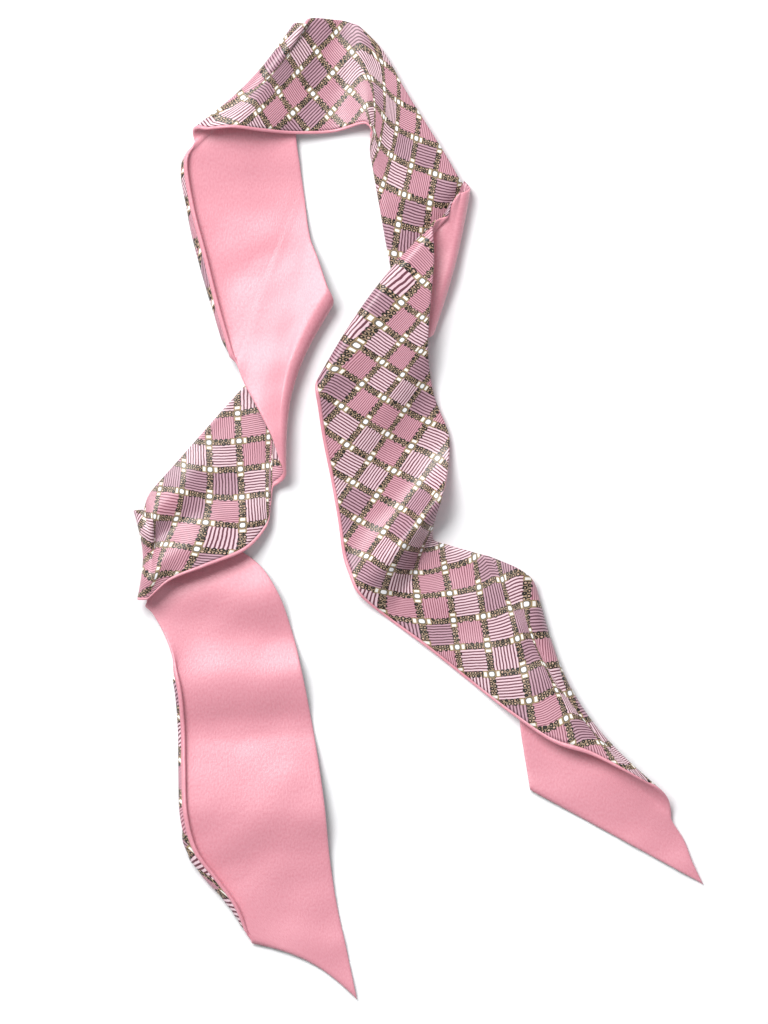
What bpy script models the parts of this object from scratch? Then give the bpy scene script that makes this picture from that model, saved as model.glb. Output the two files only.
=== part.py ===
"""A narrow two-sided ribbon scarf, dropped on a flat surface in loose folds.

Two strips of one cut, a printed one and a plain one, are seamed face to back all round. The ribbon is drawn as
the sheet between its two long edges. Each row of a table is one straight ruling across the ribbon, from the
edge with the plain rim to the edge with the printed rim, in the order in which a finger would run along it.
Metres, +Z up, the surface that it lies on at z = 0.
"""

import math
from collections import namedtuple

import bmesh
import bpy
import numpy as np
from mathutils import Matrix, Vector

MM = 0.001

# ---- Driving dimensions, in millimetres -------------------------------------------------------------------
RIBBON_WIDTH = 50.0
PLY = 1.0  # wall of one strip
SEAM_GAP = 0.3  # between the two strips
HALF_CLOTH = PLY + SEAM_GAP / 2  # from the middle of the cloth to either face
ROW_PITCH = 11.0  # longest step from one ruling to the next
COLUMNS = 8  # cells across the ribbon
ROLL_STEPS = 6  # cells round half a turn of a fold
CURL_SHARE = 0.24  # share of a ruling that a lifted edge takes
TUCK_ROLL = 1.7  # roll radius where the plain edge is turned under
TUCK_GATHERS = 14.0  # extra length that each radian of that roll counts for, so that columns gather on it
SECTION_POINTS = 81  # points that draw one ruling before it is shared out evenly
PRINT_SIDE = -1  # the sheet's own normal points out of its plain face

# Plan positions are read off a view from straight above, in its pixels, and this turns them into millimetres.
MM_PER_PX = 0.39

# ---- The drape --------------------------------------------------------------------------------------------
# rim and print are the two ends of a ruling: x and y in the view, then the height of the middle of the cloth.
# turn is 0 on a lay; a fold has its roll radius, above zero where the next layer comes over, below where under.
# lead is +1 where the printed edge runs ahead of the plain one at a fold, and -1 where it lags.
# curl lifts the plain edge by that height and out_by pushes the bend under it outward; ruck gathers the ruling,
# arch lifts its middle, and bow swings its middle sideways, to the left of the way from rim to print. tuck turns
# that length of the plain edge under, and the ruling's rim is then the outline that shows.
Ruling = namedtuple("Ruling", "name rim print_end turn lead curl out_by ruck bow arch tuck", defaults=(0,) * 8)

DRAPE = [
    Ruling("tip_a_cut", (252, 943, 1.5), (357, 999, 1.2), bow=4),
    Ruling("tail_a_corner", (238, 906, 1.2), (346, 946, 1.2), curl=3.2, out_by=4),
    Ruling("tail_a_curl", (219, 879, 1.2), (337, 905, 1.2), curl=4, out_by=5.5),
    Ruling("tail_a_curl_end", (198, 850, 1.2), (330, 858, 2.0), curl=3.6, out_by=3.5),
    Ruling("tail_a_crest", (188, 812, 2.5), (325, 806, 4.0), curl=3, out_by=1.5),
    Ruling("tail_a_slope", (186, 765, 1.8), (318, 757, 2.5), curl=3, out_by=1.2),
    Ruling("tail_a_trough", (185, 725, 1.0), (312, 722, 1.0), curl=3, out_by=1.2),
    Ruling("tail_a_second_crest", (180, 680, 3.0), (303, 675, 3.5), curl=3, out_by=1),
    Ruling("tail_a_shade", (167, 640, 1.8), (293, 634, 1.0), curl=1),
    Ruling("tail_a_end", (153, 614, 1.3), (277, 590, 1.0)),
    Ruling("tail_a_tucked", (146, 607, 1.3), (253, 559, 1.1)),
    Ruling("fold_1", (139, 600, 4.8), (135, 510, 4.8), turn=3.4, ruck=3, bow=-3),
    Ruling("second_pleat", (170, 581, 9.0), (150, 494, 7.5), ruck=3),
    Ruling("second_smooths", (205, 567, 9.5), (172, 468, 5.0), ruck=2),
    Ruling("second_corner", (243, 552, 7.5), (200, 436, 3.0)),
    Ruling("second_rise", (265, 530, 4.8), (238, 393, 1.2)),
    Ruling("second_end", (270, 513, 3.5), (274, 356, 1.5)),
    Ruling("fold_2", (285, 477, 6.5), (333, 303, 5.0), turn=3, lead=1, bow=6.5),
    Ruling("third_start", (272, 437, 9.5), (318, 258, 5.0), bow=2),
    Ruling("third_over", (258, 409, 8.5), (310, 236, 3.0)),
    Ruling("third_down", (243, 380, 5.8), (305, 200, 1.2)),
    Ruling("third_curl", (222, 315, 2.6), (300, 165, 1.0), curl=3.2, out_by=2.5),
    Ruling("third_side", (206, 252, 1.3), (296, 135, 1.0), curl=3.6, out_by=3),
    Ruling("third_shade", (194, 205, 1.0), (293, 100, 1.0), curl=3.4, out_by=2.5),
    Ruling("third_end", (188, 160, 1.0), (293, 60, 1.0), curl=3, out_by=2),
    Ruling("fold_3", (194, 131, 5.0), (291, 29, 4.6), turn=3.2, lead=1, bow=-3),
    Ruling("fourth_start", (232, 130, 9.8), (314, 20, 5.0), bow=-2),
    Ruling("fourth_dip", (262, 133, 7.2), (333, 20, 2.6)),
    Ruling("fourth_trough", (296, 135, 3.6), (343, 21, 1.6)),
    Ruling("fourth_rise", (334, 133, 2.6), (353, 24, 2.0)),
    Ruling("turn_ridge", (364, 125, 5.6), (361, 28, 2.8)),
    Ruling("fifth_start", (368, 133, 5.6), (382, 50, 3.8), tuck=3),
    Ruling("fifth_side", (371, 150, 5.4), (405, 90, 4.2), tuck=8),
    Ruling("fifth_lower", (375, 174, 5.2), (426, 124, 4.2), tuck=12),
    Ruling("fifth_crossed", (381, 208, 5.0), (446, 156, 4.2), tuck=13),
    Ruling("fifth_end", (388, 247, 4.6), (458, 177, 3.8), tuck=9),
    Ruling("fifth_uncurls", (396, 284, 3.6), (462, 183, 2.6), tuck=2),
    Ruling("fifth_meets", (412, 318, 1.3), (465, 187, 1.9)),
    Ruling("fold_5", (432, 335, 3.8), (469, 189, 4.6), turn=2.6, lead=-1, bow=-1.5),
    Ruling("sixth_start", (394, 350, 6.5), (459, 194, 8.0)),
    Ruling("sixth_end", (352, 368, 4.5), (452, 204, 8.5)),
    Ruling("fold_6", (317, 382, 5.0), (435, 223, 12.0), turn=2.6, lead=-1, bow=3),
    Ruling("seventh_start", (320, 405, 7.0), (434, 262, 13.5)),
    Ruling("seventh_slope", (324, 440, 4.0), (430, 310, 12.0)),
    Ruling("seventh_middle", (331, 480, 2.0), (428, 350, 9.5)),
    Ruling("seventh_flat", (338, 520, 1.0), (434, 395, 3.5)),
    Ruling("seventh_end", (343, 556, 1.0), (449, 436, 3.0)),
    Ruling("buckle_rise", (349, 574, 2.0), (448, 466, 6.0), arch=1),
    Ruling("buckle_ridge", (357, 592, 3.5), (442, 496, 12.0), arch=4),
    Ruling("buckle_flank", (370, 605, 2.5), (434, 520, 7.5), arch=2.5),
    Ruling("buckle_valley", (388, 619, 1.2), (432, 537, 1.2)),
    Ruling("eighth_start", (430, 650, 1.0), (449, 545, 1.0)),
    Ruling("eighth_middle", (475, 686, 1.2), (466, 550, 2.5)),
    Ruling("eighth_cross", (517, 718, 4.5), (476, 553, 3.5)),
    Ruling("eighth_fan", (555, 743, 7.5), (484, 555, 4.5)),
    Ruling("eighth_end", (592, 755, 8.2), (491, 557, 5.5), bow=2),
    Ruling("fold_8", (667, 798, 3.8), (532, 580, 3.8), turn=-2.8, lead=-1, bow=10),
    Ruling("tail_b_start", (684, 840, 1.0), (522, 650, 1.0), bow=6),
    Ruling("tail_b_shade", (692, 861, 1.0), (519, 712, 1.0), bow=2),
    Ruling("tip_b_cut", (703, 884, 1.0), (530, 790, 1.0)),
]


def plan(end):
    """A ruling's end in millimetres, with the view's y turned round to point up the page."""
    x, y, height = end
    return np.array([x * MM_PER_PX, -y * MM_PER_PX, height])


def fold_rulings(ruling, towards):
    """The rulings round a fold: half a turn about its outermost line, sliding along it as the ribbon's edges do."""
    rim, printed = plan(ruling.rim), plan(ruling.print_end)
    along = printed - rim
    length = np.linalg.norm(along[:2])
    along_unit = np.array([along[0] / length, along[1] / length, 0])
    inward = np.array([-along_unit[1], along_unit[0], 0])
    if np.dot(inward, towards - (rim + printed) / 2) < 0:
        inward = -inward
    slant = ruling.lead * math.sqrt(max(length**2 - RIBBON_WIDTH**2, 0)) / RIBBON_WIDTH
    radius = abs(ruling.turn)
    for step in range(ROLL_STEPS + 1):
        angle = math.pi * (step / ROLL_STEPS - 0.5)
        shift = inward * radius * (1 - math.cos(angle)) + along_unit * radius * angle * slant
        shift = shift + np.array([0, 0, ruling.turn * math.sin(angle)])
        yield rim + shift, printed + shift


def all_rulings():
    """Every ruling's two ends with its shaping, the folds opened out into their rolls."""
    ends, shaping = [], []
    for index, ruling in enumerate(DRAPE):
        if ruling.turn:
            after = DRAPE[index + 1]
            towards = (plan(after.rim) + plan(after.print_end)) / 2
            pairs = list(fold_rulings(ruling, towards))
        else:
            pairs = [(plan(ruling.rim), plan(ruling.print_end))]
        for rim, printed in pairs:
            ends.append(np.concatenate([rim, printed]))
            shaping.append([ruling.curl, ruling.out_by, ruling.ruck, ruling.bow, ruling.arch, ruling.tuck])
    return np.array(ends), np.array(shaping, float)


def smooth_rows(values, knots, steps):
    """Values at more rows, on a Catmull-Rom curve whose knots are spaced by distance."""
    slopes = np.gradient(values, knots, axis=0)
    rows = []
    for i, count in enumerate(steps):
        span = knots[i + 1] - knots[i]
        for step in range(count):
            f = step / count
            rows.append(
                (2 * f**3 - 3 * f**2 + 1) * values[i]
                + (f**3 - 2 * f**2 + f) * span * slopes[i]
                + (3 * f**2 - 2 * f**3) * values[i + 1]
                + (f**3 - f**2) * span * slopes[i + 1]
            )
    rows.append(values[-1])
    return np.array(rows)


def tucked_edge(rim, outward, silhouette, tuck):
    """The plain edge turned under the cloth along the silhouette, from its hidden end back to the top of the roll."""
    slide = np.dot(outward, silhouette)
    straight_out = outward - slide * silhouette
    square_on = np.linalg.norm(straight_out)
    straight_out = straight_out / square_on
    lengths = np.linspace(tuck, 0, 61)[:, None]
    angle = np.clip(lengths * square_on / TUCK_ROLL, 0, math.pi)
    beyond = lengths * square_on - angle * TUCK_ROLL
    top = rim - straight_out * TUCK_ROLL * min(1, tuck / TUCK_ROLL)
    hidden = top + straight_out * (TUCK_ROLL * np.sin(angle) - beyond) + silhouette * lengths * slide
    return hidden - np.array([0, 0, 1]) * TUCK_ROLL * (1 - np.cos(angle))


def section(rim, printed, silhouette, curl, out_by, ruck, bow, arch, tuck):
    """One ruling as a fine line of points, with its lifted or tucked edge, its gathers, its swing and its arch."""
    hidden = np.empty((0, 3))
    if tuck > 0.05:
        outward = (rim - printed) * np.array([1, 1, 0])
        hidden = tucked_edge(rim, outward / np.linalg.norm(outward), silhouette, tuck)
        rim = hidden[-1]
        hidden = hidden[:-1]
    along = printed - rim
    length = np.linalg.norm(along[:2])
    along_unit = np.array([along[0] / length, along[1] / length, 0])
    left = np.array([-along_unit[1], along_unit[0], 0])
    up = np.array([0, 0, 1])
    share = np.linspace(0, 1, SECTION_POINTS)[:, None]
    lifted = np.clip(1 - share / CURL_SHARE, 0, 1)
    push = out_by + min(out_by, 1) * length * CURL_SHARE / 2
    drawn = rim + along * share + left * bow * np.sin(np.pi * share) + up * arch * np.sin(np.pi * share)
    drawn = drawn - along_unit * push * np.sin(np.pi * lifted) + up * curl * lifted**2
    drawn = drawn + up * max(ruck, 0) * np.sin(2 * np.pi * share) ** 2
    drawn = np.concatenate([hidden, drawn])
    drawn[:, 2] = np.maximum(drawn[:, 2], HALF_CLOTH)
    lengths = np.linalg.norm(np.diff(drawn, axis=0), axis=1)
    if tuck > 0.05:
        runs = np.diff(drawn, axis=0) / lengths[:, None]
        turned = np.arccos(np.clip(np.sum(runs[1:] * runs[:-1], axis=1), -1, 1))
        lengths[1:] += turned * TUCK_GATHERS * min(1, tuck / 4)
    travelled = np.concatenate([[0], np.cumsum(lengths)])
    even = np.linspace(0, travelled[-1], COLUMNS + 1)
    return np.array([np.interp(even, travelled, drawn[:, axis]) for axis in range(3)]).T


def drape_points():
    """The middle of the cloth as rows of points, each row a ruling from the plain rim to the printed edge."""
    ends, shaping = all_rulings()
    moved = np.diff(ends, axis=0)
    reach = np.maximum(np.linalg.norm(moved[:, :3], axis=1), np.linalg.norm(moved[:, 3:], axis=1))
    knots = np.concatenate([[0], np.cumsum(np.sqrt(reach))])
    steps = [max(1, math.ceil(distance / ROW_PITCH)) for distance in reach]
    ends = smooth_rows(ends, knots, steps)
    shaping = smooth_rows(shaping, knots, steps)
    silhouettes = np.gradient(ends[:, :3], axis=0) * np.array([1, 1, 0])
    silhouettes = silhouettes / np.linalg.norm(silhouettes, axis=1, keepdims=True)
    return np.array(
        [section(end[:3], end[3:], line, *shape) for end, line, shape in zip(ends, silhouettes, shaping)]
    )


def ply(name, points, side, material, collection):
    """One strip: the sheet moved to its own side of the middle, then extruded on by its thickness."""
    rows, columns = points.shape[:2]
    mesh = bpy.data.meshes.new(name)
    sheet = bmesh.new()
    bmesh.ops.create_grid(sheet, x_segments=columns - 1, y_segments=rows - 1, size=1)
    outward = sheet.verts.layers.float_vector.new("outward")
    sheet.verts.ensure_lookup_table()
    for vertex in sheet.verts:
        row, column = divmod(vertex.index, columns)
        vertex.co = Vector(points[row, column] * MM)
    sheet.normal_update()
    for vertex in sheet.verts:
        vertex[outward] = vertex.normal * side
    for vertex in sheet.verts:
        vertex.co += vertex[outward] * SEAM_GAP / 2 * MM
    wall = bmesh.ops.extrude_face_region(sheet, geom=sheet.faces[:], use_keep_orig=True)
    for vertex in wall["geom"]:
        if isinstance(vertex, bmesh.types.BMVert):
            vertex.co += vertex[outward] * PLY * MM
    bmesh.ops.recalc_face_normals(sheet, faces=sheet.faces[:])
    sheet.to_mesh(mesh)
    sheet.free()
    mesh.shade_smooth()
    strip = bpy.data.objects.new(name, mesh)
    strip.data.materials.append(material)
    collection.objects.link(strip)
    return strip


def centre_on_base(strips):
    """Moves the strips so that the middle of their box's base is the origin."""
    corners = np.array([vertex.co for strip in strips for vertex in strip.data.vertices])
    middle = (corners.min(axis=0) + corners.max(axis=0)) / 2
    for strip in strips:
        strip.data.transform(Matrix.Translation((-middle[0], -middle[1], 0)))


def cloth(name, colour, roughness):
    material = bpy.data.materials.new(name)
    material.use_nodes = True
    shader = material.node_tree.nodes["Principled BSDF"]
    shader.inputs["Base Color"].default_value = (*colour, 1)
    shader.inputs["Roughness"].default_value = roughness
    shader.inputs["Metallic"].default_value = 0
    return material


for old in list(bpy.data.objects):
    bpy.data.objects.remove(old, do_unlink=True)

scarf = bpy.data.collections.new("printed_scarf")
bpy.context.scene.collection.children.link(scarf)

sheet_points = drape_points()
printed_satin = cloth("printed_satin", (0.50, 0.24, 0.27), 0.55)
pink_satin = cloth("pink_satin", (0.82, 0.27, 0.34), 0.4)
printed_ply = ply("printed_ply", sheet_points, PRINT_SIDE, printed_satin, scarf)
plain_ply = ply("plain_ply", sheet_points, -PRINT_SIDE, pink_satin, scarf)
centre_on_base([printed_ply, plain_ply])
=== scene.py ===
"""A narrow ribbon scarf, printed satin on one side and plain rose on the other, dropped on a white table."""

import math
from collections import namedtuple
from functools import partial

import bpy
import numpy as np
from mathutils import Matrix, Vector, noise


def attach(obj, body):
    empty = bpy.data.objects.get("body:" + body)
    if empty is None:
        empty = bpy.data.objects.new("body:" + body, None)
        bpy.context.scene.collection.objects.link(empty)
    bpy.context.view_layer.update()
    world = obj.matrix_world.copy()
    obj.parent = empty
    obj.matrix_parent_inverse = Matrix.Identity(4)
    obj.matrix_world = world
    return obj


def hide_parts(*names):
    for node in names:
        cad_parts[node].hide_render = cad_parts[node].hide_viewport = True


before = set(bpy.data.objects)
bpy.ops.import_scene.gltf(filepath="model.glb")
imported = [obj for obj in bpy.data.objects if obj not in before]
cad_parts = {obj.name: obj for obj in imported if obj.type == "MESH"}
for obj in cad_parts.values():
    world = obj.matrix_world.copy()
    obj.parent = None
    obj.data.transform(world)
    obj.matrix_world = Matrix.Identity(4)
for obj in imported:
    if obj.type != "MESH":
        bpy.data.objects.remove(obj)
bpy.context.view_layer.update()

# ---- Table top ---------------------------------------------------------------------------------------------
# A smooth white laminate sheet, large enough to fill the view from any side. It carries the whole scarf and
# takes its soft shadow.
TABLE_SIDE = 6.0
TABLE_WHITE = (0.93, 0.935, 0.95)
TABLE_MOTTLE = 0.985  # the share of its white that the darker patches keep
TABLE_ROUGHNESS = (0.55, 0.65)

bpy.ops.object.select_all(action="DESELECT")
bpy.ops.mesh.primitive_plane_add(size=TABLE_SIDE, location=(0, 0, 0))
table_top = bpy.context.object
table_top.name = "table_top"

laminate = bpy.data.materials.new("white_laminate")
laminate.use_nodes = True
laminate_shader = laminate.node_tree.nodes["Principled BSDF"]
laminate_shader.inputs["Specular IOR Level"].default_value = 0.2
mottle = laminate.node_tree.nodes.new("ShaderNodeTexNoise")
mottle.inputs["Scale"].default_value = 6
place = laminate.node_tree.nodes.new("ShaderNodeTexCoord")
laminate.node_tree.links.new(place.outputs["Object"], mottle.inputs["Vector"])
tone = laminate.node_tree.nodes.new("ShaderNodeMix")
tone.data_type = "RGBA"
tone.inputs["A"].default_value = (*TABLE_WHITE, 1)
tone.inputs["B"].default_value = (*(channel * TABLE_MOTTLE for channel in TABLE_WHITE), 1)
laminate.node_tree.links.new(mottle.outputs["Fac"], tone.inputs["Factor"])
laminate.node_tree.links.new(tone.outputs["Result"], laminate_shader.inputs["Base Color"])
gloss = laminate.node_tree.nodes.new("ShaderNodeMapRange")
gloss.inputs["To Min"].default_value, gloss.inputs["To Max"].default_value = TABLE_ROUGHNESS
laminate.node_tree.links.new(mottle.outputs["Fac"], gloss.inputs["Value"])
laminate.node_tree.links.new(gloss.outputs["Result"], laminate_shader.inputs["Roughness"])
table_top.data.materials.append(laminate)

# ---- Camera and daylight -----------------------------------------------------------------------------------
# The scarf is seen from straight above through a long lens. The light is a broad white window at the upper
# left, in a pale room that fills the shadows.
VIEW_HEIGHT = 0.39936  # metres of table from the top of the picture to its foot
VIEW_CENTRE = (-0.01310, -0.00117)
CAMERA_RISE = 2.5
FILM_HEIGHT = 24.0
ROOM_WHITE = (0.97, 0.98, 1.0)
ROOM_STRENGTH = 0.4
WINDOW_SIZE = (1.3, 1.0)
WINDOW_WATTS = 57
WINDOW_WHITE = (1.0, 0.995, 0.985)
WINDOW_PLACE = (-0.84, 1.12, 1.62)

view = bpy.data.cameras.new("view_from_above")
view.sensor_fit = "VERTICAL"
view.sensor_height = FILM_HEIGHT
view.sensor_width = FILM_HEIGHT
view.lens = FILM_HEIGHT * CAMERA_RISE / VIEW_HEIGHT
camera = bpy.data.objects.new("view_from_above", view)
camera.location = (*VIEW_CENTRE, CAMERA_RISE)
bpy.context.scene.collection.objects.link(camera)
bpy.context.scene.camera = camera
bpy.context.scene.view_settings.view_transform = "Standard"

room = bpy.data.worlds.new("pale_room")
room.use_nodes = True
room.node_tree.nodes["Background"].inputs["Color"].default_value = (*ROOM_WHITE, 1)
room.node_tree.nodes["Background"].inputs["Strength"].default_value = ROOM_STRENGTH
bpy.context.scene.world = room

window = bpy.data.lights.new("window", "AREA")
window.shape = "RECTANGLE"
window.size, window.size_y = WINDOW_SIZE
window.energy = WINDOW_WATTS
window.color = WINDOW_WHITE
window_light = bpy.data.objects.new("window", window)
window_light.location = WINDOW_PLACE
window_light.rotation_mode = "QUATERNION"
window_light.rotation_quaternion = (-window_light.location).to_track_quat("-Z", "Y")
bpy.context.scene.collection.objects.link(window_light)

# ---- Printed strip -----------------------------------------------------------------------------------------
# The face of the scarf: one long strip of printed satin, cut on a slant at both ends and seamed to the plain
# strip all round. Its print is a common trellis of gold chains with beads at the crossings and a square of
# fine stripes in each opening.
MM = 0.001
RIBBON_WIDTH = 50.0
HALF_THICKNESS = 0.62  # from the middle of the cloth to either face
SOLID_HALF = 1.15  # the same for the solid, which sets how high each lay of the drape runs
SATIN_WALL = 0.22
RIM_SHOWS = 1.4  # of the plain strip, turned over onto the printed side
END_ROUND = 1.2  # along the strip, over which the two faces close on each other at its ends
ROW_PITCH = 2.2  # most of the drape between two rows of the mesh
ACROSS_POINTS = 46  # of the mesh, across a face
ROLL_STEPS = 18  # rulings round a fold
CURL_SHARE = 0.24  # of the width, which lifts at a curled edge
TUCK_ROLL = 1.7  # radius of the roll where the plain edge is turned under
LEAST_TUCK = 0.05  # below which the edge isn't turned under
TUCK_POINTS = 61
SECTION_POINTS = 161
MM_PER_PX = 0.39
LAID_CENTRE = (162.864, -198.513)  # middle of the laid scarf in the view's own millimetres

# The drape: each row is a ruling straight across the ribbon, from the plain rim to the printed edge. rim and
# print_end are x and y in the view's pixels, then the height in millimetres. turn is the radius of a fold,
# below 0 where it goes under, and lead says which way its roll slides. curl lifts the plain edge and out_by
# bulges the cloth out past it, ruck gathers the cloth, bow swings its middle aside, arch lifts it, and tuck
# turns the plain edge under, all in millimetres.
RULING_FIELDS = "name rim print_end turn lead curl out_by ruck bow arch tuck"
Ruling = namedtuple("Ruling", RULING_FIELDS, defaults=(0,) * 8)

DRAPE = [
    Ruling("tip_a_cut", (252, 943, 1.5), (357, 999, 1.2), bow=4),
    Ruling("tail_a_corner", (238, 906, 1.2), (346, 946, 1.2), curl=3.2, out_by=4),
    Ruling("tail_a_curl", (219, 879, 1.2), (337, 905, 1.2), curl=4, out_by=5.5),
    Ruling("tail_a_curl_end", (198, 850, 1.2), (330, 858, 2.0), curl=3.6, out_by=3.5),
    Ruling("tail_a_crest", (188, 812, 2.5), (325, 806, 4.0), curl=3, out_by=1.5),
    Ruling("tail_a_slope", (186, 765, 1.8), (318, 757, 2.5), curl=3, out_by=1.2),
    Ruling("tail_a_trough", (185, 725, 1.0), (312, 722, 1.0), curl=3, out_by=1.2),
    Ruling("tail_a_second_crest", (180, 680, 3.0), (303, 675, 3.5), curl=3, out_by=1),
    Ruling("tail_a_shade", (167, 640, 1.8), (293, 634, 1.0), curl=1),
    Ruling("tail_a_end", (153, 614, 1.3), (277, 590, 1.0)),
    Ruling("tail_a_tucked", (146, 607, 1.3), (253, 559, 1.1)),
    Ruling("fold_1", (139, 600, 4.8), (135, 510, 4.8), turn=3.4, ruck=3, bow=-3),
    Ruling("second_pleat", (170, 581, 9.0), (150, 494, 7.5), ruck=3),
    Ruling("second_smooths", (205, 567, 9.5), (172, 468, 5.0), ruck=2),
    Ruling("second_corner", (243, 552, 7.5), (200, 436, 3.0)),
    Ruling("second_rise", (265, 530, 4.8), (238, 393, 1.2)),
    Ruling("second_end", (270, 513, 3.5), (274, 356, 1.5)),
    Ruling("fold_2", (285, 477, 6.5), (333, 303, 5.0), turn=3, lead=1, bow=6.5),
    Ruling("third_start", (272, 437, 9.5), (318, 258, 5.0), bow=2),
    Ruling("third_over", (258, 409, 8.5), (310, 236, 3.0)),
    Ruling("third_down", (243, 380, 5.8), (305, 200, 1.2)),
    Ruling("third_curl", (222, 315, 2.6), (300, 165, 1.0), curl=3.2, out_by=2.5),
    Ruling("third_side", (206, 252, 1.3), (296, 135, 1.0), curl=3.6, out_by=3),
    Ruling("third_shade", (194, 205, 1.0), (293, 100, 1.0), curl=3.4, out_by=2.5),
    Ruling("third_end", (188, 160, 1.0), (293, 60, 1.0), curl=3, out_by=2),
    Ruling("fold_3", (194, 131, 5.0), (295, 25, 4.6), turn=3.2, lead=1, bow=-3),
    Ruling("fourth_start", (232, 130, 9.8), (311, 19, 5.0), bow=-2),
    Ruling("fourth_dip", (262, 133, 7.2), (333, 20, 2.6)),
    Ruling("fourth_trough", (296, 135, 3.6), (343, 21, 1.6)),
    Ruling("fourth_rise", (334, 133, 2.6), (353, 24, 2.0)),
    Ruling("turn_ridge", (364, 125, 5.6), (361, 28, 2.8)),
    Ruling("fifth_start", (368, 133, 5.6), (382, 50, 3.8), tuck=3),
    Ruling("fifth_side", (371, 150, 5.4), (405, 90, 4.2), tuck=8),
    Ruling("fifth_lower", (375, 174, 5.2), (426, 124, 4.2), tuck=12),
    Ruling("fifth_crossed", (381, 208, 5.0), (446, 156, 4.2), tuck=13),
    Ruling("fifth_end", (388, 247, 4.6), (458, 177, 3.8), tuck=9),
    Ruling("fifth_uncurls", (396, 284, 3.6), (462, 183, 2.6), tuck=2),
    Ruling("fifth_meets", (412, 318, 1.3), (465, 187, 1.9)),
    Ruling("fold_5", (432, 335, 3.8), (469, 189, 4.6), turn=2.6, lead=-1, bow=-1.5),
    Ruling("sixth_start", (394, 350, 6.5), (459, 194, 8.0)),
    Ruling("sixth_end", (352, 368, 4.5), (452, 204, 8.5)),
    Ruling("fold_6", (318, 382, 5.0), (435, 223, 12.0), turn=2.6, lead=-1, bow=3),
    Ruling("seventh_start", (317.5, 404, 7.0), (434, 262, 13.5)),
    Ruling("seventh_slope", (323, 440, 4.0), (430, 310, 12.0)),
    Ruling("seventh_middle", (331, 480, 2.0), (428, 350, 9.5)),
    Ruling("seventh_flat", (338, 520, 1.0), (434, 395, 3.5)),
    Ruling("seventh_end", (343, 556, 1.0), (449, 436, 3.0)),
    Ruling("buckle_rise", (349, 574, 2.0), (448, 466, 6.0), arch=1),
    Ruling("buckle_ridge", (357, 592, 3.5), (442, 496, 12.0), arch=4),
    Ruling("buckle_flank", (370, 605, 2.5), (434, 520, 7.5), arch=2.5),
    Ruling("buckle_valley", (388, 619, 1.2), (432, 537, 1.2)),
    Ruling("eighth_start", (430, 650, 1.0), (449, 545, 1.0)),
    Ruling("eighth_middle", (475, 686, 1.2), (466, 550, 2.5)),
    Ruling("eighth_cross", (517, 718, 4.5), (476, 553, 3.5)),
    Ruling("eighth_fan", (555, 743, 7.5), (484, 555, 4.5)),
    Ruling("eighth_end", (592, 755, 8.2), (491, 557, 5.5), bow=2),
    Ruling("fold_8", (667, 798, 3.8), (532, 580, 3.8), turn=-2.8, lead=-1, bow=10),
    Ruling("tail_b_start", (684, 840, 1.0), (522, 650, 1.0), bow=6),
    Ruling("tail_b_shade", (692, 861, 1.0), (519, 712, 1.0), bow=2),
    Ruling("tip_b_cut", (703, 884, 1.0), (530, 790, 1.0)),
]


def plan(end):
    """A ruling's end in millimetres, with the view's y turned round to point up the page."""
    x, y, height = end
    return np.array([x * MM_PER_PX, -y * MM_PER_PX, height])


def fold_rulings(ruling, towards):
    """The rulings round half a turn of a fold, sliding along it as the lead says."""
    rim, printed = plan(ruling.rim), plan(ruling.print_end)
    along = (printed - rim)[:2]
    length = np.linalg.norm(along)
    along_unit = np.append(along / length, 0)
    inward = np.array([-along_unit[1], along_unit[0], 0])
    middle = (rim + printed) / 2
    if np.dot(inward[:2], (towards - middle)[:2]) < 0:
        inward = -inward
    slant = ruling.lead * math.sqrt(max(length**2 - RIBBON_WIDTH**2, 0)) / RIBBON_WIDTH
    radius = abs(ruling.turn)
    for step in range(ROLL_STEPS + 1):
        angle = math.pi * (step / ROLL_STEPS - 0.5)
        shift = inward * radius * (1 - math.cos(angle)) + along_unit * radius * angle * slant
        shift = shift + np.array([0, 0, ruling.turn * math.sin(angle)])
        yield rim + shift, printed + shift


def all_rulings():
    """Every ruling's two ends, shaping and name, the folds opened out into their rolls."""
    ends, shaping, names = [], [], []
    for index, ruling in enumerate(DRAPE):
        if ruling.turn:
            after = DRAPE[index + 1]
            towards = (plan(after.rim) + plan(after.print_end)) / 2
            pairs = list(fold_rulings(ruling, towards))
        else:
            pairs = [(plan(ruling.rim), plan(ruling.print_end))]
        for rim, printed in pairs:
            ends.append(np.concatenate([rim, printed]))
            shaping.append([ruling.curl, ruling.out_by, ruling.ruck, ruling.bow, ruling.arch, ruling.tuck])
            names.append(ruling.name)
    return np.array(ends), np.array(shaping, float), names


def smooth_rows(values, knots, steps):
    """Values at more rows, on a smooth curve through the knots."""
    slopes = np.gradient(values, knots, axis=0)
    rows = []
    for i, count in enumerate(steps):
        span = knots[i + 1] - knots[i]
        for step in range(count):
            f = step / count
            rows.append(
                (2 * f**3 - 3 * f**2 + 1) * values[i]
                + (f**3 - 2 * f**2 + f) * span * slopes[i]
                + (3 * f**2 - 2 * f**3) * values[i + 1]
                + (f**3 - f**2) * span * slopes[i + 1]
            )
    rows.append(values[-1])
    return np.array(rows)


def tucked_edge(rim, outward, silhouette, tuck):
    """The plain edge turned under along the silhouette, from its hidden end back to the top of the roll."""
    slide = np.dot(outward, silhouette)
    straight_out = outward - slide * silhouette
    square_on = np.linalg.norm(straight_out)
    straight_out = straight_out / square_on
    lengths = np.linspace(tuck, 0, TUCK_POINTS)[:, None]
    angle = np.clip(lengths * square_on / TUCK_ROLL, 0, math.pi)
    beyond = lengths * square_on - angle * TUCK_ROLL
    top = rim - straight_out * TUCK_ROLL * min(1, tuck / TUCK_ROLL)
    hidden = top + straight_out * (TUCK_ROLL * np.sin(angle) - beyond) + silhouette * lengths * slide
    return hidden - np.array([0, 0, 1]) * TUCK_ROLL * (1 - np.cos(angle))


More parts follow.
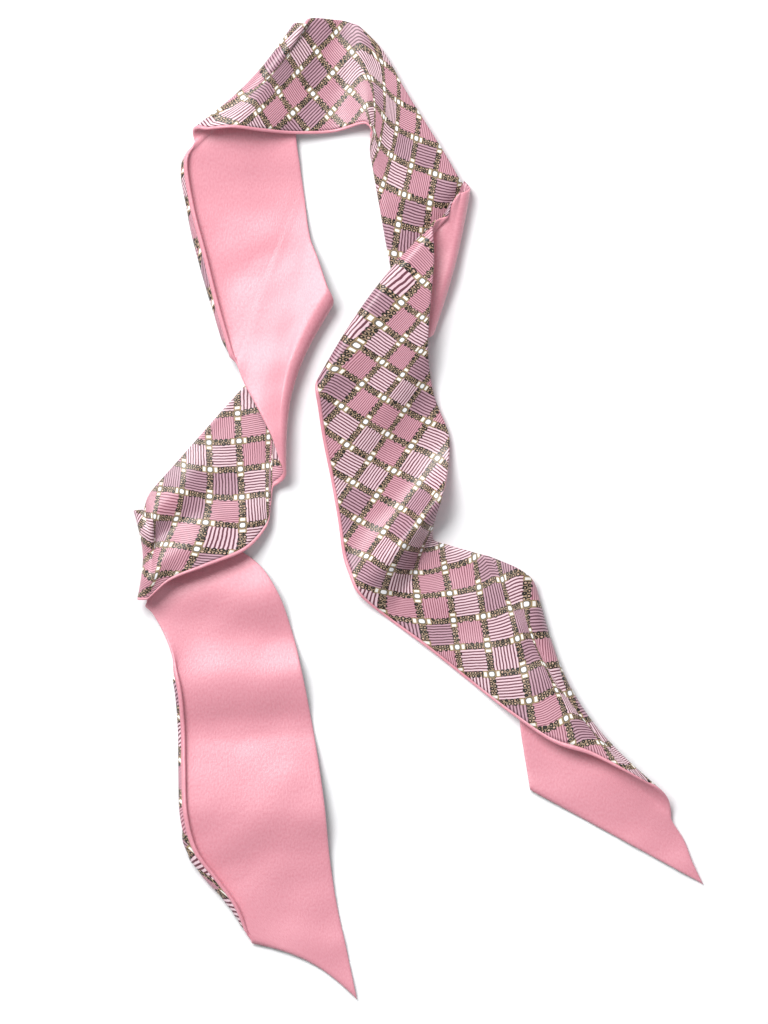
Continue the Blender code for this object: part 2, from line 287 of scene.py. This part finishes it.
def section(rim, printed, silhouette, curl, out_by, ruck, bow, arch, tuck):
    """One ruling as a fine line of points, with its lifted or tucked edge, gathers, swing and arch."""
    hidden = np.empty((0, 3))
    if tuck > LEAST_TUCK:
        outward = (rim - printed) * np.array([1, 1, 0])
        hidden = tucked_edge(rim, outward / np.linalg.norm(outward), silhouette, tuck)
        rim = hidden[-1]
        hidden = hidden[:-1]
    along = printed - rim
    length = np.linalg.norm(along[:2])
    along_unit = np.array([along[0] / length, along[1] / length, 0])
    left = np.array([-along_unit[1], along_unit[0], 0])
    up = np.array([0, 0, 1])
    share = np.linspace(0, 1, SECTION_POINTS)[:, None]
    lifted = np.clip(1 - share / CURL_SHARE, 0, 1)
    # the bulge peaks halfway up the curl, and out_by is how far it reaches past the edge
    push = out_by + min(out_by, 1) * length * CURL_SHARE / 2
    drawn = rim + along * share + left * bow * np.sin(np.pi * share) + up * arch * np.sin(np.pi * share)
    drawn = drawn - along_unit * push * np.sin(np.pi * lifted) + up * curl * lifted**2
    drawn = drawn + up * max(ruck, 0) * np.sin(2 * np.pi * share) ** 2
    drawn = np.concatenate([hidden, drawn])
    drawn[:, 2] = np.maximum(drawn[:, 2], SOLID_HALF)
    return drawn


def travel(points):
    """How far along a line of points each of them lies."""
    return np.concatenate([[0], np.cumsum(np.linalg.norm(np.diff(points, axis=0), axis=1))])


def even_points(drawn, shares):
    """Points at these shares of a line's length."""
    travelled = travel(drawn)
    wanted = np.asarray(shares) * travelled[-1]
    return np.array([np.interp(wanted, travelled, drawn[:, axis]) for axis in range(3)]).T


# Soft swells of the cloth, in millimetres about the laid scarf's middle: where, spread each way and height.
Swell = namedtuple("Swell", "name x y spread_x spread_y height")

SWELLS = [
    Swell("left_tail_upper", -66, -67, 34, 9, 2.3),
    Swell("left_tail_lower", -62, -117, 34, 14, 2.7),
    Swell("under_second_rim", -70, -33, 26, 8, 3.6),
    Swell("under_fourth_rim", -74, 146, 20, 12, 3.6),
    Swell("under_eighth_rim", 88, -102, 13, 11, 3.0),
]

# The dents left by handling: how wide they are each way, their mean height and their range.
DENT_SIZE = (17, 12)
DENT_MEAN = 0.3
DENT_RANGE = 0.8
DENT_SLICE = 0.3  # where the flat cloth cuts the solid noise


def dented(line):
    """The line with its swells and dents, which each lay of the cloth at a spot has alike."""
    spots = [Vector((x / DENT_SIZE[0], y / DENT_SIZE[1], DENT_SLICE)) for x, y, _ in line]
    lifts = np.array([max(0, DENT_MEAN + DENT_RANGE * noise.noise(spot)) for spot in spots])
    for swell in SWELLS:
        across, down = (line[:, 0] - swell.x) / swell.spread_x, (line[:, 1] - swell.y) / swell.spread_y
        lifts = lifts + swell.height * np.exp(-(across**2 + down**2) / 2)
    return line + lifts[:, None] * np.array([0, 0, 1])


def drape_sections():
    """The middle of the cloth as fine rulings about the laid scarf's middle, and each named one's row."""
    ends, shaping, names = all_rulings()
    moved = np.diff(ends, axis=0)
    reach = np.maximum(np.linalg.norm(moved[:, :3], axis=1), np.linalg.norm(moved[:, 3:], axis=1))
    knots = np.concatenate([[0], np.cumsum(np.sqrt(reach))])
    steps = [max(1, math.ceil(distance / ROW_PITCH)) for distance in reach]
    ends = smooth_rows(ends, knots, steps)
    shaping = smooth_rows(shaping, knots, steps)
    rows_of = {}
    for name, row in zip(names, np.concatenate([[0], np.cumsum(steps)])):
        rows_of.setdefault(name, []).append(row)
    drop = np.array([*LAID_CENTRE, SOLID_HALF - HALF_THICKNESS])
    silhouettes = np.gradient(ends[:, :3], axis=0) * np.array([1, 1, 0])
    silhouettes = silhouettes / np.linalg.norm(silhouettes, axis=1, keepdims=True)
    lines = [
        dented(section(end[:3], end[3:], silhouette, *shape) - drop)
        for end, silhouette, shape in zip(ends, silhouettes, shaping)
    ]
    return lines, {name: rows[len(rows) // 2] for name, rows in rows_of.items()}


def unit(vectors):
    """The vectors at a length of 1."""
    return vectors / np.maximum(np.linalg.norm(vectors, axis=-1, keepdims=True), 1e-9)


def lay_strip(name, profile):
    """A grid shaped into one strip. The profile crosses it: share of the width, height off the middle."""
    shares, lifts = np.array(profile).T
    reach = 0.02  # of the width, each way, over which the cloth's slope across is taken
    spots = np.array([even_points(line, shares) for line in DRAPE_LINES])
    across = np.array([even_points(line, np.clip(shares + reach, 0, 1)) for line in DRAPE_LINES])
    across = across - np.array([even_points(line, np.clip(shares - reach, 0, 1)) for line in DRAPE_LINES])
    along = np.gradient(spots, axis=0)
    normals = unit(np.cross(unit(along), unit(across)))
    # both strips close on each other at the slanted ends
    travelled = travel(spots.mean(axis=1))
    from_end = np.minimum(travelled, travelled[-1] - travelled)
    closing = np.sqrt(np.clip(1 - (1 - np.clip(from_end / END_ROUND, 0, 1)) ** 2, 0.02, 1))
    spots = spots + normals * (lifts[None, :] * closing[:, None])[:, :, None]

    bpy.ops.object.select_all(action="DESELECT")
    bpy.ops.mesh.primitive_grid_add(x_subdivisions=len(shares) - 1, y_subdivisions=len(spots) - 1, size=1)
    strip = bpy.context.object
    strip.name = strip.data.name = name
    strip.data.vertices.foreach_set("co", (spots.reshape(-1, 3) * MM).ravel())
    cut_along = (cut_travel[:, None] + ahead[:, None] * (shares - 0.5)) / RIBBON_WIDTH
    place_uv = np.stack([shares * shows[:, None], cut_along], axis=-1)
    corners = np.empty(len(strip.data.loops), int)
    strip.data.loops.foreach_get("vertex_index", corners)
    strip.data.uv_layers[0].data.foreach_set("uv", place_uv.reshape(-1, 2)[corners].ravel())
    strip.data.update()
    return strip


DRAPE_LINES, ROW_OF = drape_sections()
rim_travel, print_travel = (travel(np.array([line[edge] for line in DRAPE_LINES])) for edge in (0, -1))
middle_travel = (rim_travel + print_travel - RIBBON_WIDTH) / 2

# How the strip's flat cut lies on these rulings: how far the printed end is ahead of the rim end along the
# cut, what share of the width shows as it lies, counted from the rim, and how much faster the cut runs than
# the drape, where it lies in ripples too small to model.
CutPlace = namedtuple("CutPlace", "name ahead shows slack")
CUT_PLACES = [
    CutPlace("tip_a_cut", -50, 1.0, 1.0),
    CutPlace("tail_a_crest", -2, 1.0, 1.0),
    CutPlace("tail_a_shade", -6, 1.0, 1.0),
    CutPlace("fold_1", 0, 0.9, 1.0),
    CutPlace("second_smooths", 12, 0.9, 1.0),
    CutPlace("second_rise", 36, 0.95, 1.0),
    CutPlace("fold_2", 52, 1.0, 1.0),
    CutPlace("third_curl", 48, 1.0, 1.0),
    CutPlace("third_shade", 40, 1.0, 1.0),
    CutPlace("fold_3", 24, 1.0, 1.05),
    CutPlace("fourth_start", 33, 0.93, 1.15),
    CutPlace("fourth_dip", 28, 0.93, 1.15),
    CutPlace("fourth_trough", 18, 0.93, 1.15),
    CutPlace("fourth_rise", 6, 0.9, 1.1),
    CutPlace("fifth_start", -20, 0.95, 1.0),
    CutPlace("fifth_side", -14, 1.0, 1.0),
    CutPlace("fifth_crossed", -4, 1.0, 1.0),
    CutPlace("fifth_end", -9, 1.0, 1.0),
    CutPlace("fold_5", -31, 1.0, 1.0),
    CutPlace("sixth_end", -58, 0.95, 1.0),
    CutPlace("fold_6", -60, 0.95, 1.05),
    CutPlace("seventh_slope", -50, 0.9, 1.15),
    CutPlace("seventh_middle", -46, 0.9, 1.15),
    CutPlace("seventh_end", -38, 0.95, 1.1),
    CutPlace("buckle_ridge", -30, 0.9, 1.0),
    CutPlace("buckle_valley", -18, 0.85, 1.0),
    CutPlace("eighth_start", -22, 0.85, 1.0),
    CutPlace("eighth_middle", -38, 0.85, 1.0),
    CutPlace("eighth_fan", -62, 0.88, 1.0),
    CutPlace("eighth_end", -76, 0.92, 1.0),
    CutPlace("fold_8", -89, 1.0, 1.0),
    CutPlace("tail_b_shade", -70, 1.0, 1.0),
    CutPlace("tip_b_cut", -50, 1.0, 1.0),
]
places_at = middle_travel[[ROW_OF[place.name] for place in CUT_PLACES]]
ahead, shows, slack = (
    np.interp(middle_travel, places_at, [getattr(place, column) for place in CUT_PLACES])
    for column in ("ahead", "shows", "slack")
)
cut_steps = np.diff(middle_travel) * (slack[1:] + slack[:-1]) / 2
cut_travel = middle_travel[0] + np.concatenate([[0], np.cumsum(cut_steps)])

half_turn = np.linspace(0, math.pi, 7)
edge_round = HALF_THICKNESS / RIBBON_WIDTH


def printed_edge(angles):
    """The profile round the printed edge, from the plain face at 0 to the printed one at half a turn."""
    return [(1 - edge_round + edge_round * math.sin(a), -HALF_THICKNESS * math.cos(a)) for a in angles]


face_shares = np.linspace(1 - edge_round, RIM_SHOWS / RIBBON_WIDTH, ACROSS_POINTS)[1:]
print_profile = printed_edge(half_turn[3:]) + [(share, HALF_THICKNESS) for share in face_shares]
printed_front = lay_strip("printed_front", print_profile)


def thin_wall(strip):
    """Gives a strip its own thin wall, grown in from the face that shows."""
    bpy.ops.object.select_all(action="DESELECT")
    strip.select_set(True)
    bpy.context.view_layer.objects.active = strip
    wall = strip.modifiers.new("wall", "SOLIDIFY")
    wall.thickness = SATIN_WALL * MM
    wall.offset = -1
    bpy.ops.object.modifier_apply(modifier=wall.name)
    strip.data.shade_smooth()


thin_wall(printed_front)


def math_node(tree, operation, *values):
    """One Math node; numbers go on its sockets and other nodes' outputs are joined to them."""
    node = tree.nodes.new("ShaderNodeMath")
    node.operation = operation
    for socket, value in zip(node.inputs, values):
        if isinstance(value, bpy.types.NodeSocket):
            tree.links.new(value, socket)
        else:
            socket.default_value = value
    return node.outputs[0]


def lay_over(tree, mask, under, over):
    """One colour over another where the mask is 1."""
    node = tree.nodes.new("ShaderNodeMix")
    node.data_type = "RGBA"
    tree.links.new(mask, node.inputs["Factor"])
    for socket, colour in (("A", under), ("B", over)):
        if isinstance(colour, bpy.types.NodeSocket):
            tree.links.new(colour, node.inputs[socket])
        else:
            node.inputs[socket].default_value = (*colour, 1)
    return node.outputs["Result"]


def steps_of(tree, value, stops):
    """Flat colours in bands of a value, each from its own start."""
    node = tree.nodes.new("ShaderNodeValToRGB")
    node.color_ramp.interpolation = "CONSTANT"
    while len(node.color_ramp.elements) < len(stops):
        node.color_ramp.elements.new(0.5)
    for element, (start, colour) in zip(node.color_ramp.elements, stops):
        element.position = start
        element.color = (*colour, 1)
    tree.links.new(value, node.inputs["Fac"])
    return node.outputs["Color"]


# The satin's own weave, for both strips: a fine twill line, and slubs drawn out along the length.
TWILL_SLANT = 0.62
TWILL_DEPTH = 0.35
SLUBS_ACROSS = 1.6  # per millimetre
SLUBS_ALONG = 0.8

satin_weave = bpy.data.node_groups.new("satin_weave", "ShaderNodeTree")
weave_math = partial(math_node, satin_weave)
satin_weave.interface.new_socket("Across", in_out="INPUT", socket_type="NodeSocketFloat")
satin_weave.interface.new_socket("Along", in_out="INPUT", socket_type="NodeSocketFloat")
satin_weave.interface.new_socket("Twill Pitch", in_out="INPUT", socket_type="NodeSocketFloat")
satin_weave.interface.new_socket("Height", in_out="OUTPUT", socket_type="NodeSocketFloat")
satin_weave.interface.new_socket("Mottle", in_out="OUTPUT", socket_type="NodeSocketFloat")
weave_in = satin_weave.nodes.new("NodeGroupInput").outputs
weave_out = satin_weave.nodes.new("NodeGroupOutput").inputs
slant_line = weave_math("ADD", weave_in["Across"], weave_math("MULTIPLY", weave_in["Along"], TWILL_SLANT))
twill = weave_math("PINGPONG", slant_line, weave_in["Twill Pitch"])
twill = weave_math("DIVIDE", twill, weave_in["Twill Pitch"])
stretched = satin_weave.nodes.new("ShaderNodeCombineXYZ")
satin_weave.links.new(weave_math("MULTIPLY", weave_in["Across"], SLUBS_ACROSS), stretched.inputs["X"])
satin_weave.links.new(weave_math("MULTIPLY", weave_in["Along"], SLUBS_ALONG), stretched.inputs["Y"])
slub = satin_weave.nodes.new("ShaderNodeTexNoise")
slub.inputs["Scale"].default_value = 1.0
slub.inputs["Detail"].default_value = 3
satin_weave.links.new(stretched.outputs[0], slub.inputs["Vector"])
weave_height = weave_math("ADD", weave_math("MULTIPLY", twill, TWILL_DEPTH), slub.outputs["Fac"])
satin_weave.links.new(weave_height, weave_out["Height"])
satin_weave.links.new(slub.outputs["Fac"], weave_out["Mottle"])

# The print, drawn on the strip's flat cut in millimetres: across from the printed edge, along from the tail.
CHAIN_SQUARES_ACROSS = 3  # squares point to point across the ribbon
DIAGONAL = RIBBON_WIDTH / CHAIN_SQUARES_ACROSS
CELL = DIAGONAL / math.sqrt(2)
HAND_WANDER = 0.5  # of the drawn lines, from side to side
RINGS_PER_CELL = 6
RING_ASIDE = 0.66
RING_RADIUS = 0.80
RING_WANDER = 1.1
CHAIN_HALF_WIDTH = 1.05
STRIPES_PER_CELL = 10
FINE_STRIPES_PER_CELL = 14
STRIPE_SHARE = 0.23
MIDDLE_TONE, DARK_TONE = 0.36, 0.70  # where the middle and the dark squares start, of 1
SIDE_BEAD_AT = 2.35
SIDE_BEAD_ALONG, SIDE_BEAD_BROAD = 1.5, 0.85  # the more, the smaller that way: short and broad
INK_DARK = (0.008, 0.006, 0.004)
INK_GOLD = (0.36, 0.25, 0.13)
INK_PEACH = (0.66, 0.44, 0.33)
INK_OLIVE = (0.15, 0.12, 0.085)
INK_PEARL = (0.94, 0.94, 0.96)
INK_CREAM = (0.93, 0.90, 0.86)
INK_TWILL_PITCH = 0.16
INK_RELIEF = 0.00012  # metres
INK_ROUGHNESS = 0.34
INK_MOTTLE = 0.12  # of the roughness
CHAIN_INKS = [(0.0, INK_PEACH), (0.24, INK_DARK), (0.78, INK_GOLD), (0.90, INK_PEACH), (0.97, INK_OLIVE)]
GROUND_INKS = [(0.0, (0.82, 0.59, 0.65)), (MIDDLE_TONE, (0.70, 0.37, 0.44)), (DARK_TONE, (0.55, 0.33, 0.40))]
STRIPE_INKS = [(0.0, (0.15, 0.04, 0.06)), (MIDDLE_TONE, (0.28, 0.09, 0.125)), (DARK_TONE, (0.12, 0.04, 0.06))]

printed_satin = bpy.data.materials.new("printed_satin")
printed_satin.use_nodes = True
ink = printed_satin.node_tree
ink_math = partial(math_node, ink)
ink_shader = ink.nodes["Principled BSDF"]
cut_place = ink.nodes.new("ShaderNodeUVMap")
cut_place.uv_map = "UVMap"
cut_parts = ink.nodes.new("ShaderNodeSeparateXYZ")
ink.links.new(cut_place.outputs["UV"], cut_parts.inputs[0])
across = ink_math("MULTIPLY_ADD", cut_parts.outputs["X"], -RIBBON_WIDTH, RIBBON_WIDTH)
along = ink_math("MULTIPLY", cut_parts.outputs["Y"], RIBBON_WIDTH)
hand_place = ink.nodes.new("ShaderNodeCombineXYZ")
ink.links.new(across, hand_place.inputs["X"])
ink.links.new(along, hand_place.inputs["Y"])
hand = ink.nodes.new("ShaderNodeTexNoise")
hand.inputs["Scale"].default_value = 0.3
hand.inputs["Detail"].default_value = 2
ink.links.new(hand_place.outputs[0], hand.inputs["Vector"])
hand_parts = ink.nodes.new("ShaderNodeSeparateColor")
ink.links.new(hand.outputs["Color"], hand_parts.inputs[0])
drawn_across = ink_math(
    "ADD", across, ink_math("MULTIPLY_ADD", hand_parts.outputs[0], HAND_WANDER, -HAND_WANDER / 2)
)
drawn_along = ink_math(
    "ADD", along, ink_math("MULTIPLY_ADD", hand_parts.outputs[1], HAND_WANDER, -HAND_WANDER / 2)
)

# p and q count the trellis lines each way; their whole numbers are the lines, and both whole is a crossing
p = ink_math("DIVIDE", ink_math("ADD", drawn_along, drawn_across), DIAGONAL)
q = ink_math("DIVIDE", ink_math("SUBTRACT", drawn_along, drawn_across), DIAGONAL)
off_p = ink_math("WRAP", p, 0.5, -0.5)
off_q = ink_math("WRAP", q, 0.5, -0.5)
line_p = ink_math("ROUND", ink_math("SUBTRACT", p, off_p))
line_q = ink_math("ROUND", ink_math("SUBTRACT", q, off_q))
crossing = ink_math("SUBTRACT", line_p, line_q)
crossing_odd = ink_math("PINGPONG", crossing, 1)
cell_p = ink_math("FLOOR", p)
cell_q = ink_math("FLOOR", q)
square_odd = ink_math("PINGPONG", ink_math("SUBTRACT", cell_p, cell_q), 1)

# stripes in the squares, turned from square to square
square_id = ink.nodes.new("ShaderNodeCombineXYZ")
ink.links.new(cell_p, square_id.inputs["X"])
ink.links.new(cell_q, square_id.inputs["Y"])
square_tone = ink.nodes.new("ShaderNodeTexWhiteNoise")
square_tone.noise_dimensions = "2D"
ink.links.new(square_id.outputs[0], square_tone.inputs["Vector"])
tone_value = square_tone.outputs["Value"]
not_light = ink_math("GREATER_THAN", tone_value, MIDDLE_TONE)
fine = ink_math("MULTIPLY", not_light, ink_math("LESS_THAN", tone_value, DARK_TONE))
stripe_count = ink_math("MULTIPLY_ADD", fine, FINE_STRIPES_PER_CELL - STRIPES_PER_CELL, STRIPES_PER_CELL)
stripe_place = ink_math("MULTIPLY_ADD", square_odd, ink_math("SUBTRACT", p, q), q)
stripe = ink_math("PINGPONG", ink_math("MULTIPLY", stripe_place, stripe_count), 0.5)
stripe_mask = ink_math("LESS_THAN", stripe, STRIPE_SHARE)
square_ground = steps_of(ink, tone_value, GROUND_INKS)
print_colour = lay_over(ink, stripe_mask, square_ground, steps_of(ink, tone_value, STRIPE_INKS))

# each chain is two rows of small rings, staggered, on a ground of gold thread
ring_distances, from_lines = [], []
for off_line, other in ((off_p, q), (off_q, p)):
    off_chain = ink_math("MULTIPLY", off_line, CELL)
    far_row = ink_math("GREATER_THAN", off_line, 0.0)
    link = ink_math("MULTIPLY_ADD", other, RINGS_PER_CELL, ink_math("MULTIPLY", far_row, 0.5))
    along_link = ink_math("MULTIPLY", ink_math("WRAP", link, 0.5, -0.5), CELL / RINGS_PER_CELL)
    from_line = ink_math("ABSOLUTE", off_chain)
    off_ring = ink_math("SUBTRACT", from_line, RING_ASIDE)
    squared = ink_math("MULTIPLY", along_link, along_link)
    squared = ink_math("ADD", squared, ink_math("MULTIPLY", off_ring, off_ring))
    ring_distances.append(ink_math("SQRT", squared))
    from_lines.append(from_line)
ring = ink_math("MINIMUM", *ring_distances)
ring_noise = ink.nodes.new("ShaderNodeTexNoise")
ring_noise.inputs["Scale"].default_value = 0.6
ring_noise.inputs["Detail"].default_value = 1
ink.links.new(hand_place.outputs[0], ring_noise.inputs["Vector"])
ring_wander = ink_math("MULTIPLY_ADD", ring_noise.outputs["Fac"], RING_WANDER, -RING_WANDER / 2)
ring = ink_math("ADD", ring, ring_wander)
chain_colour = steps_of(ink, ring, CHAIN_INKS)
on_thread = ink_math("LESS_THAN", ink_math("MINIMUM", *from_lines), CHAIN_HALF_WIDTH)
chain_mask = ink_math("MAXIMUM", ink_math("LESS_THAN", ring, RING_RADIUS), on_thread)
print_colour = lay_over(ink, chain_mask, print_colour, chain_colour)


def off_crossing(off_even, off_odd):
    """How far off the crossing: by one line where the crossing is even, and by the other where it is odd."""
    by_turns = ink_math("MULTIPLY_ADD", crossing_odd, ink_math("SUBTRACT", off_odd, off_even), off_even)
    return ink_math("ABSOLUTE", ink_math("MULTIPLY", by_turns, CELL))


# three beads at each crossing, in a row that turns from crossing to crossing
along_row, off_row = off_crossing(off_p, off_q), off_crossing(off_q, off_p)
along_side_bead = ink_math("ABSOLUTE", ink_math("SUBTRACT", along_row, SIDE_BEAD_AT))
from_side_bead = ink_math("MULTIPLY", along_side_bead, SIDE_BEAD_ALONG)
from_side_bead = ink_math("MAXIMUM", from_side_bead, ink_math("MULTIPLY", off_row, SIDE_BEAD_BROAD))
cubed = ink_math("ADD", ink_math("POWER", along_row, 3.0), ink_math("POWER", off_row, 3.0))
from_bead = ink_math("POWER", cubed, 1 / 3)  # round, a little squared off
BEAD_INKS = [
    (from_side_bead, 1.2, INK_GOLD),
    (from_side_bead, 0.78, INK_CREAM),
    (from_bead, 1.6, INK_GOLD),
    (from_bead, 1.35, INK_OLIVE),
    (from_bead, 0.92, INK_PEARL),
]
for distance, radius, colour in BEAD_INKS:
    print_colour = lay_over(ink, ink_math("LESS_THAN", distance, radius), print_colour, colour)
ink.links.new(print_colour, ink_shader.inputs["Base Color"])

ink_weave = ink.nodes.new("ShaderNodeGroup")
ink_weave.node_tree = satin_weave
ink_weave.inputs["Twill Pitch"].default_value = INK_TWILL_PITCH
ink.links.new(across, ink_weave.inputs["Across"])
ink.links.new(along, ink_weave.inputs["Along"])
ink_bump = ink.nodes.new("ShaderNodeBump")
ink_bump.inputs["Strength"].default_value = 0.35
ink_bump.inputs["Distance"].default_value = INK_RELIEF
ink.links.new(ink_weave.outputs["Height"], ink_bump.inputs["Height"])
ink.links.new(ink_bump.outputs["Normal"], ink_shader.inputs["Normal"])
ink_roughness = ink_math("MULTIPLY_ADD", ink_weave.outputs["Mottle"], INK_MOTTLE, INK_ROUGHNESS)
ink.links.new(ink_roughness, ink_shader.inputs["Roughness"])
ink_shader.inputs["Specular IOR Level"].default_value = 0.6
ink_shader.inputs["Sheen Weight"].default_value = 0.05
ink_shader.inputs["Sheen Roughness"].default_value = 0.4
printed_front.data.materials.append(printed_satin)

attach(printed_front, "root")
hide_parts("printed_ply")

# ---- Plain strip -------------------------------------------------------------------------------------------
# The back of the scarf: a strip of plain rose satin of the same cut, seamed to the printed one all round. It
# is rolled over the plain edge, so that a narrow rose rim frames the print along that side.
SATIN_ROSE = (0.80, 0.31, 0.385)
SATIN_DEEP = (0.725, 0.235, 0.305)
DEEP_CONTRAST, DEEP_OFFSET = 3.0, -1.1  # how sharply the slubs bring the deep rose in, and from where
ROSE_TWILL_PITCH = 0.2
ROSE_RELIEF = 0.0002  # metres
ROSE_ROUGHNESS = 0.42
ROSE_MOTTLE = 0.14  # of the roughness

plain_profile = [(RIM_SHOWS / RIBBON_WIDTH, HALF_THICKNESS)]
plain_profile += [(edge_round - edge_round * math.sin(a), HALF_THICKNESS * math.cos(a)) for a in half_turn]
face_shares = np.linspace(edge_round, 1 - edge_round, ACROSS_POINTS)[1:]
plain_profile += [(share, -HALF_THICKNESS) for share in face_shares]
plain_profile += printed_edge(half_turn[1:4])
plain_back = lay_strip("plain_back", plain_profile)
thin_wall(plain_back)

pink_satin = bpy.data.materials.new("pink_satin")
pink_satin.use_nodes = True
rose = pink_satin.node_tree
rose_math = partial(math_node, rose)
rose_shader = rose.nodes["Principled BSDF"]
rose_place = rose.nodes.new("ShaderNodeUVMap")
rose_place.uv_map = "UVMap"
rose_parts = rose.nodes.new("ShaderNodeSeparateXYZ")
rose.links.new(rose_place.outputs["UV"], rose_parts.inputs[0])
rose_weave = rose.nodes.new("ShaderNodeGroup")
rose_weave.node_tree = satin_weave
rose_weave.inputs["Twill Pitch"].default_value = ROSE_TWILL_PITCH
rose.links.new(rose_math("MULTIPLY", rose_parts.outputs["X"], RIBBON_WIDTH), rose_weave.inputs["Across"])
rose.links.new(rose_math("MULTIPLY", rose_parts.outputs["Y"], RIBBON_WIDTH), rose_weave.inputs["Along"])
deep_mask = rose_math("MULTIPLY_ADD", rose_weave.outputs["Mottle"], DEEP_CONTRAST, DEEP_OFFSET)
rose.links.new(lay_over(rose, deep_mask, SATIN_ROSE, SATIN_DEEP), rose_shader.inputs["Base Color"])
rose_bump = rose.nodes.new("ShaderNodeBump")
rose_bump.inputs["Strength"].default_value = 0.5
rose_bump.inputs["Distance"].default_value = ROSE_RELIEF
rose.links.new(rose_weave.outputs["Height"], rose_bump.inputs["Height"])
rose.links.new(rose_bump.outputs["Normal"], rose_shader.inputs["Normal"])
rose_roughness = rose_math("MULTIPLY_ADD", rose_weave.outputs["Mottle"], ROSE_MOTTLE, ROSE_ROUGHNESS)
rose.links.new(rose_roughness, rose_shader.inputs["Roughness"])
rose_shader.inputs["Specular IOR Level"].default_value = 1.0
rose_shader.inputs["IOR"].default_value = 1.7
rose_shader.inputs["Sheen Weight"].default_value = 0.25
rose_shader.inputs["Sheen Roughness"].default_value = 0.35
plain_back.data.materials.append(pink_satin)

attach(plain_back, "root")
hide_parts("plain_ply")
